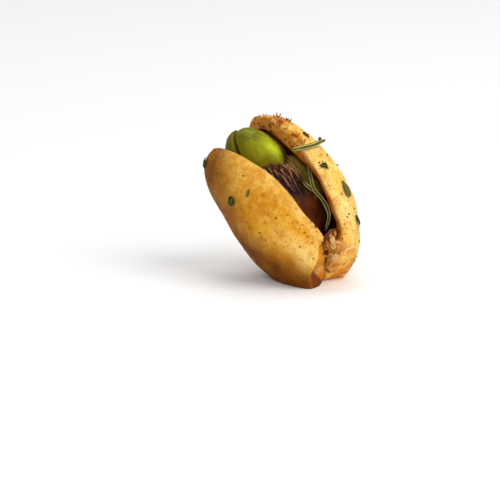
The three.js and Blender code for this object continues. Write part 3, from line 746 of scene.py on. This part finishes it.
def on_shell(side, turn, level, spin):
    """A spot on the outside of one half in mm, with the directions along, beside and out of it."""
    turn = math.radians(turn)
    near = [(turn, level), (turn + 0.01, level), (turn, level - 0.01)]
    spot, round_way, level_way = (shell_point(side, np.array([a]), np.array([b]), 0.0)[0][0] for a, b in near)
    out = np.cross(round_way - spot, level_way - spot)
    out /= np.linalg.norm(out)
    if out @ (spot - shell_point(side, np.array([turn]), np.array([level]), 1.0)[0][0]) < 0:
        out = -out
    along = np.array([1.0, 0, 0]) - out * out[0]
    along /= np.linalg.norm(along)
    beside = np.cross(out, along)
    spin = math.radians(spin)
    spun = along * math.cos(spin) + beside * math.sin(spin)
    return spot, spun, beside * math.cos(spin) - along * math.sin(spin), out


def leaf_scrap(name, side, turn, level, spin, length, width, tone, seed):
    """A curled scrap laid on the shell, following its curve."""
    scrap, about, pole = ball(name, 36, 14)
    spot, along, beside, out = on_shell(side, turn, level, spin)
    reach = np.sin(math.pi * pole)
    ragged = 1 + 0.12 * np.sin(3 * about + seed) + 0.07 * np.sin(7 * about + 2 * seed)
    s = length / 2 * reach * ragged * np.cos(about)
    t = width / 2 * reach * ragged * np.sin(about)
    fold = SCRAP_CURL * (np.abs(t) / (width / 2)) ** 1.5 + 0.05 * np.sin(5 * s / length + seed)
    h = SCRAP_LIFT + SCRAP_HALF_THICKNESS * np.cos(math.pi * pole) + fold - (s**2 + t**2) / SHELL_CURVE
    points = spot + s[:, None] * along + t[:, None] * beside + h[:, None] * out
    vein = np.exp(-((t / (0.12 * width)) ** 2)) * (reach < 0.95)
    shape(scrap, points, middle=vein, tone=np.full(len(s), tone))
    return scrap


# Half, turn, level, spin, length, width and tone of each.
scraps = [
    (RIGHT, 78, 0.875, 60, 1.15, 0.7, 0.1),
    (RIGHT, 93, 0.7, -16, 2.2, 1.15, 0.9),
    (RIGHT, 118, 0.55, 30, 1.4, 0.7, 0.1),
    (RIGHT, 52, 0.8, -20, 1.1, 0.4, 0.3),
    (LEFT, 40, 0.44, -72, 1.25, 0.95, 0.1),
    (LEFT, 60, 0.645, -58, 0.95, 0.36, 0.9),
    (LEFT, 3, 0.775, 12, 1.4, 0.9, 0.1),
]
for i, (side, turn, level, spin, length, width, tone) in enumerate(scraps):
    node = f"herb_flake_{i + 1}"
    scrap = leaf_scrap(node + "_curled", side, turn, level, spin, length, width, tone, 1.0 + i)
    scrap.data.materials.append(scrap_finish)
    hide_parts(node)
    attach(scrap, "root")

# Coarse grains: lumps of orange spice near the right tip, and pale bits of dried flesh in
# the stem scar. They cling by the roasting oil.
grain_finish, wire = new_finish("orange spice lump")
nut = wire.mark("nut", "Vector")
patches, fine = wire.mottle(nut, 2.5, 3.0), wire.mottle(nut, 8.0, 3.0)
colour = patches.step(0.4, 0.6).over(paint("c4560e"), paint("ee8e22"))
colour = (fine.step(0.6, 0.7) * 0.6).over(colour, paint("5a240a"))
close_finish(wire, colour, 0.6 + 0.2 * fine, fine, 0.1, Subsurface_Weight=0.1)

pale_finish, wire = new_finish("pale dried flesh")
nut = wire.mark("nut", "Vector")
patches, fine = wire.mottle(nut, 1.8, 3.0), wire.mottle(nut, 7.0, 3.0)
colour = patches.step(0.35, 0.65).over(paint("e0b870"), paint("c48c40"))
colour = (fine.step(0.58, 0.7) * 0.5).over(colour, paint("9a6430"))
close_finish(wire, colour, 0.55 + 0.2 * fine, fine, 0.08, Subsurface_Weight=0.15)


def lump(name, side, turn, level, spin, size, seed, flat, slender, into_seam):
    """A rough lump on the shell, moved some mm across the seam and down into it."""
    body, about, pole = ball(name, 26, 18)
    spot, along, beside, out = on_shell(side, turn, level, spin)
    girth = np.sin(math.pi * pole)
    ball_at = np.stack([girth * np.cos(about), girth * np.sin(about), np.cos(math.pi * pole)], -1)
    rough = 1 + 0.16 * np.sin(4.1 * ball_at[:, 0] + seed) * np.cos(3.7 * ball_at[:, 1] + 2 * seed)
    small_wave = np.sin(9 * ball_at[:, 0] + 7 * ball_at[:, 2] + 3 * seed)
    rough += 0.09 * small_wave * np.cos(8 * ball_at[:, 1] - seed)
    ball_at = ball_at * rough[:, None] * size / 2
    h = ball_at[:, 2] * flat + size / 2 * flat * 0.8
    spot = spot + [0, into_seam, 0] - 0.45 * into_seam * out
    points = spot + ball_at[:, :1] * along + ball_at[:, 1:2] * slender * beside + h[:, None] * out
    shape(body, points)
    return body


# Half, turn, level, spin, size, slot, flatness, slenderness and way into the seam of each.
grains = [
    (RIGHT, 36, 0.93, 0, 0.8, "spice", 0.7, 0.85, 0),
    (RIGHT, 52, 0.93, 50, 0.75, "spice", 0.5, 0.85, 0),
    (RIGHT, 148, 0.953, -35, 1.6, "pale_grain", 0.25, 0.5, 0),
    (RIGHT, 121, 0.99, -15, 1.5, "pale_grain", 0.5, 0.5, 1.2),
]
for i, (side, turn, level, spin, size, slot, flat, slender, into_seam) in enumerate(grains):
    node = f"spice_grain_{i + 1}"
    body = lump(node + "_lump", side, turn, level, spin, size, 1.3 * i + 0.4, flat, slender, into_seam)
    body.data.materials.append(grain_finish if slot == "spice" else pale_finish)
    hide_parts(node)
    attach(body, "root")

# Dried flesh in the stem scar: short tan and pinkish shreds left where the stalk broke
# off, lying over the seam, and a dark bridge of it in the seam that still joins the halves.
BRIDGE_START, BRIDGE_END, BRIDGE_INSET = 113, 184, 0.4
BRIDGE_OVERLAP, BRIDGE_HALF_THICKNESS = 0.15, 0.5

shred_finish, wire = new_finish("scar shreds")
nut, tone = wire.mark("nut", "Vector"), wire.mark("tone")
patches, fine = wire.mottle(nut, 1.5, 3.0), wire.mottle(nut, 6.0, 3.0)
stops = [(0.0, paint("5a2a08")), (0.35, paint("b87020")), (0.7, paint("d0924a")), (1.0, paint("e0ac50"))]
colour = wire.node("ShaderNodeValToRGB", {"stops": stops}, {"Fac": tone + 0.6 * patches - 0.3})
colour = (fine.step(0.56, 0.7) * 0.6).over(colour, paint("7a3c10"))
close_finish(wire, colour, 0.55 + 0.2 * fine, fine, 0.08, Specular_IOR_Level=0.2)

# Half, turn, level, spin, size, flatness, slenderness and way into the seam of each.
shreds = [
    (RIGHT, 134, 0.97, -20, 1.4, 0.35, 0.25, 0), (RIGHT, 142, 0.985, 20, 1.2, 0.35, 0.25, 0),
    (RIGHT, 158, 0.98, -10, 1.3, 0.3, 0.25, 0), (RIGHT, 167, 0.985, 15, 1.0, 0.3, 0.3, 0),
    (LEFT, 130, 0.985, 0, 1.2, 0.3, 0.25, 0), (LEFT, 146, 0.985, 20, 1.1, 0.3, 0.25, 0),
    (LEFT, 160, 0.985, -15, 1.1, 0.3, 0.25, 0), (RIGHT, 128, 0.91, 60, 0.8, 0.25, 0.4, 0),
    (RIGHT, 141, 0.88, -40, 0.9, 0.25, 0.3, 0), (RIGHT, 162, 0.9, 70, 0.9, 0.25, 0.3, 0),
    (RIGHT, 116, 0.99, 30, 0.8, 0.5, 0.5, 1.3), (RIGHT, 115, 0.99, -20, 0.6, 0.4, 0.4, 0.9),
    (RIGHT, 121, 0.99, 10, 1.0, 0.6, 0.5, 1.7), (RIGHT, 126, 0.99, -40, 1.0, 0.5, 0.5, 1.4),
    (RIGHT, 130, 0.99, 20, 1.1, 0.5, 0.4, 0.9), (RIGHT, 131, 0.975, 80, 0.9, 0.4, 0.5, 0.1),
    (RIGHT, 127, 0.99, 0, 0.9, 0.5, 0.5, 0.5), (RIGHT, 124, 0.99, 50, 0.9, 0.5, 0.5, 0.3),
    (RIGHT, 135, 0.99, -10, 1.1, 0.4, 0.35, 0.5),
]
dice = random.Random(12)
pieces = []
for i, (side, turn, level, spin, size, flat, slender, into_seam) in enumerate(shreds):
    body = lump("shred", side, turn, level, spin, size, 0.9 * i, flat, slender, into_seam)
    tones = body.data.attributes.new("tone", "FLOAT", "POINT")
    tones.data.foreach_set("value", [dice.uniform(0.1, 0.9)] * len(body.data.vertices))
    pieces.append(body)
bridge, about, pole = ball("bridge", 16, 36)
turn = np.radians(mix(BRIDGE_START, BRIDGE_END, pole))
rim = np.full(len(turn), LIP)
inner, outer = (
    [shell_point(side, turn, rim, np.full(len(turn), inset))[0] for side in (LEFT, RIGHT)]
    for inset in (BRIDGE_INSET, 0.0)
)
middle = (inner[0] + inner[1]) / 2
out = (outer[0] + outer[1]) / 2 - middle
out /= np.linalg.norm(out, axis=1, keepdims=True)
girth = np.sqrt(np.maximum(0, 1 - np.abs(2 * pole - 1) ** 6))
half_gap = np.linalg.norm(inner[0] - inner[1], axis=1) / 2
width = girth * (half_gap + BRIDGE_OVERLAP) * np.cos(about)
thickness = BRIDGE_HALF_THICKNESS * girth * np.sin(about)
points = middle + width[:, None] * [0, 1, 0] + thickness[:, None] * out
shape(bridge, points, tone=np.zeros(len(pole)))
pieces.append(bridge)
shreds = join(pieces, "scar_shreds")
shreds.data.materials.append(shred_finish)
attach(shreds, "root")

# Fine seasoning: ground spice and crumbled herb dusted over the shell, thickest at the
# tips and along the rims. Each crumb is rooted in the shell's surface, and those that may
# stand up steeply, near the right tip, are drawn out to splinters.
SPLINTER_TILT, SPLINTER_LENGTHENING = 0.9, 2.5
HIGHEST_LEVEL, LOWEST_LEVEL = 0.995, 0.02

dust_finish, wire = new_finish("ground seasoning")
nut, tone = wire.mark("nut", "Vector"), wire.mark("tone")
fine = wire.mottle(nut, 9.0, 2.0)
stops = [
    (0.0, paint("23280f")), (0.35, paint("4a4a1c")), (0.5, paint("5a2e0c")),
    (0.75, paint("b8640c")), (1.0, paint("eca038")),
]
colour = wire.node("ShaderNodeValToRGB", {"stops": stops}, {"Fac": tone})
colour = (fine.step(0.55, 0.7) * 0.4).over(colour, paint("3a1c0a"))
close_finish(wire, colour, 0.65 + 0.2 * fine, fine, 0.05, Specular_IOR_Level=0.1)


def dust(name, places, seed):
    """Crumbs scattered about places, each with its half, turn and level, the reach of both,
    the number of crumbs, their size in mm, their lowest and highest tone, and their most tilt."""
    dice = random.Random(seed)
    bpy.ops.object.select_all(action="DESELECT")
    bpy.ops.mesh.primitive_ico_sphere_add(subdivisions=1, radius=0.5, location=(0, 0, 0))
    pattern = bpy.context.object
    corners = np.array([v.co[:] for v in pattern.data.vertices])
    faces = np.array([f.vertices[:] for f in pattern.data.polygons])
    spots, tones, all_faces = [], [], []
    for side, turn, level, turn_reach, level_reach, count, size, low, high, most_tilt in places:
        steep = max(0, most_tilt - SPLINTER_TILT)
        for n in range(count):
            at_level = min(HIGHEST_LEVEL, max(LOWEST_LEVEL, dice.gauss(level, level_reach)))
            at_turn, spin = dice.gauss(turn, turn_reach), dice.uniform(0, 360)
            spot, along, beside, out = on_shell(side, at_turn, at_level, spin)
            big = size * dice.uniform(0.5, 1.4)
            tilt = dice.uniform(0, most_tilt)
            tilted = along * math.cos(tilt) + out * math.sin(tilt)
            out = out * math.cos(tilt) - along * math.sin(tilt)
            if spot @ pose[2] + STANDS_AT[2] < big:
                continue
            length, width = big * dice.uniform(0.8, 2.0), big * dice.uniform(0.6, 1.0)
            length, width = length * (1 + SPLINTER_LENGTHENING * steep), width * (1 - steep)
            grown = corners * [length, width, big * dice.uniform(0.3, 0.8)]
            grown = grown * (1 + 0.3 * np.sin(corners * 7 + dice.uniform(0, 6)))
            crumb = spot + grown @ np.stack([tilted, beside, out]) + out * (0.12 * big)
            all_faces.append(faces + len(corners) * len(spots))
            spots.append(crumb)
            tones.append(np.full(len(corners), dice.uniform(low, high)))
    points, tones = np.vstack(spots), np.concatenate(tones)
    mesh = bpy.data.meshes.new(name)
    mesh.from_pydata(points.tolist(), [], np.vstack(all_faces).tolist())
    bpy.data.objects.remove(pattern)
    crumbs = bpy.data.objects.new(name, mesh)
    bpy.context.collection.objects.link(crumbs)
    crumbs.select_set(True)
    bpy.context.view_layer.objects.active = crumbs
    shape(crumbs, points, tone=tones)
    crumbs.data.materials.append(dust_finish)
    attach(crumbs, "root")


dust("herb_dust", [
    (LEFT, 26, 0.68, 3, 0.04, 30, 0.11, 0.0, 0.5, 0.5),
    (LEFT, 45, 0.5, 25, 0.15, 10, 0.12, 0.0, 0.5, 0.5),
    (RIGHT, 31, 0.82, 4, 0.04, 12, 0.3, 0.0, 0.4, 1.3),
    (RIGHT, 58, 0.8, 10, 0.12, 10, 0.2, 0.0, 0.45, 0.9),
    (RIGHT, 67, 0.655, 0.6, 0.01, 3, 0.2, 0.0, 0.45, 1.2),
    (RIGHT, 72, 0.526, 0.6, 0.01, 3, 0.24, 0.0, 0.4, 1.2),
    (RIGHT, 85, 0.75, 12, 0.12, 6, 0.22, 0.0, 0.45, 0.6),
    (RIGHT, 112, 0.6, 12, 0.12, 3, 0.2, 0.0, 0.45, 0.6),
    (RIGHT, 200, 0.5, 60, 0.2, 30, 0.16, 0.0, 0.45, 0.5),
    (LEFT, 230, 0.4, 60, 0.2, 24, 0.15, 0.0, 0.45, 0.5),
    (RIGHT, 124, 0.985, 4, 0.01, 4, 0.2, 0.1, 0.5, 0.8),
    (LEFT, 104, 0.98, 5, 0.01, 5, 0.16, 0.1, 0.5, 0.8),
], 3)
dust("spice_dust", [
    (LEFT, 10, 0.9, 5, 0.05, 26, 0.16, 0.6, 0.95, 0.7),
    (LEFT, 100, 0.84, 6, 0.03, 18, 0.14, 0.55, 0.85, 0.5),
    (LEFT, 70, 0.5, 35, 0.2, 34, 0.1, 0.5, 0.8, 0.5),
    (RIGHT, 32, 0.86, 4, 0.04, 16, 0.26, 0.65, 1.0, 1.4),
    (RIGHT, 55, 0.93, 6, 0.04, 18, 0.2, 0.6, 0.95, 1.0),
    (RIGHT, 80, 0.8, 18, 0.1, 20, 0.12, 0.5, 0.9, 0.6),
    (RIGHT, 14, 0.93, 6, 0.05, 9, 0.2, 0.6, 0.95, 1.4),
    (RIGHT, 130, 0.93, 20, 0.05, 40, 0.18, 0.6, 1.0, 0.8),
    (RIGHT, 210, 0.5, 50, 0.2, 30, 0.12, 0.5, 0.9, 0.5),
    (LEFT, 220, 0.4, 60, 0.2, 30, 0.12, 0.5, 0.9, 0.5),
    (RIGHT, 126, 0.98, 5, 0.015, 8, 0.2, 0.6, 1.0, 0.8),
], 4)
